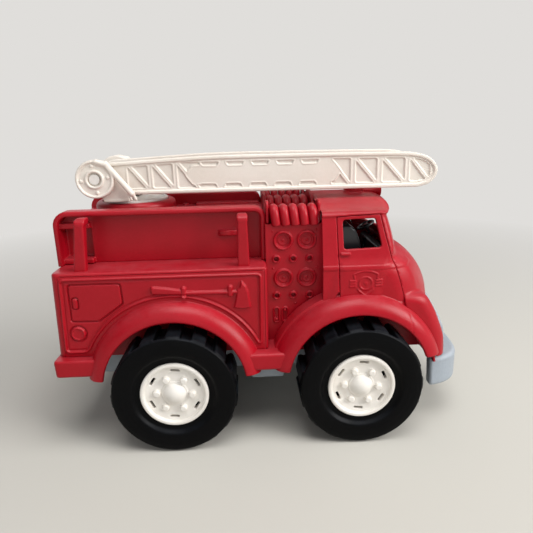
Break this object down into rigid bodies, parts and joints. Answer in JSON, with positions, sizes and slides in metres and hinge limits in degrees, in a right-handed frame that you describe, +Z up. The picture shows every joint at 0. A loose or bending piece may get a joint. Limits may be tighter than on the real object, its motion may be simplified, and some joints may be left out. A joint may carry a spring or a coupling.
{
  "type": "toy fire engine",
  "caption": "Moulded plastic toy fire engine with rolling wheels and a ladder that swivels and lifts on a turntable.",
  "frame": {"origin": "on the ground under the centre of the bounding box", "axes": "+X forward along the truck, +Y to the truck's left, +Z up"},
  "size_m": [0.267, 0.16, 0.1786],
  "materials": {
    "red_body": "satin moulded red plastic with a fine grain",
    "grey_chassis": "pale blue-grey moulded plastic",
    "black_interior": "black moulded plastic",
    "cream_ladder": "warm white moulded plastic",
    "pale_turntable": "pale moulded plastic with a smooth rim",
    "tyre_rubber": "matt black tyre",
    "white_hub": "white moulded plastic"
  },
  "bodies": {
    "truck": {"rear_body": "red_body", "rear_step": "red_body", "rear_fender_right": "red_body", "rear_fender_left": "red_body", "front_fender_right": "red_body", "front_fender_left": "red_body", "running_board_right": "red_body", "running_board_left": "red_body", "tail_lights": "red_body", "side_wall_right": "red_body", "side_wall_left": "red_body", "rear_ladder_bracket_right": "red_body", "rear_ladder_bracket_left": "red_body", "front_ladder_bracket_right": "red_body", "front_ladder_bracket_left": "red_body", "deck": "red_body", "pump_panel_right": "red_body", "pump_panel_left": "red_body", "hose_bed": "red_body", "folded_hoses": "red_body", "cab_shell": "red_body", "cab_nose": "red_body", "ladder_rest": "red_body", "roof_horn": "red_body", "chassis": "grey_chassis", "bumper": "grey_chassis", "grille": "grey_chassis", "headlight_right": "grey_chassis", "headlight_left": "grey_chassis", "seat": "black_interior", "dashboard": "black_interior", "steering_wheel": "black_interior", "steering_column": "black_interior"},
    "turntable": {"turntable": "pale_turntable", "turntable_clip": "cream_ladder", "pivot_bracket_right": "cream_ladder", "pivot_bracket_left": "cream_ladder"},
    "ladder": {"ladder_side_right": "cream_ladder", "ladder_side_left": "cream_ladder", "ladder_rungs": "cream_ladder", "ladder_pin": "cream_ladder"},
    "front_wheels": {"front_axle": "grey_chassis", "front_tyre_right": "tyre_rubber", "front_tyre_left": "tyre_rubber", "front_hub_right": "white_hub", "front_hub_left": "white_hub"},
    "rear_wheels": {"rear_axle": "grey_chassis", "rear_tyre_right": "tyre_rubber", "rear_tyre_left": "tyre_rubber", "rear_hub_right": "white_hub", "rear_hub_left": "white_hub"}
  },
  "joints": [
    {"name": "turntable_swivel", "type": "hinge", "parent": "truck", "child": "turntable", "pos_m": [-0.0882, 0, 0.1485], "axis": [0, 0, 1], "continuous": true},
    {"name": "ladder_lift", "type": "hinge", "parent": "turntable", "child": "ladder", "pos_m": [-0.1065, 0, 0.1655], "axis": [0, -1, 0], "range_deg": [0, 75]},
    {"name": "front_axle_spin", "type": "hinge", "parent": "truck", "child": "front_wheels", "pos_m": [0.056, 0, 0.0388], "axis": [0, 1, 0], "continuous": true},
    {"name": "rear_axle_spin", "type": "hinge", "parent": "truck", "child": "rear_wheels", "pos_m": [-0.0595, 0, 0.0388], "axis": [0, 1, 0], "continuous": true}
  ]
}
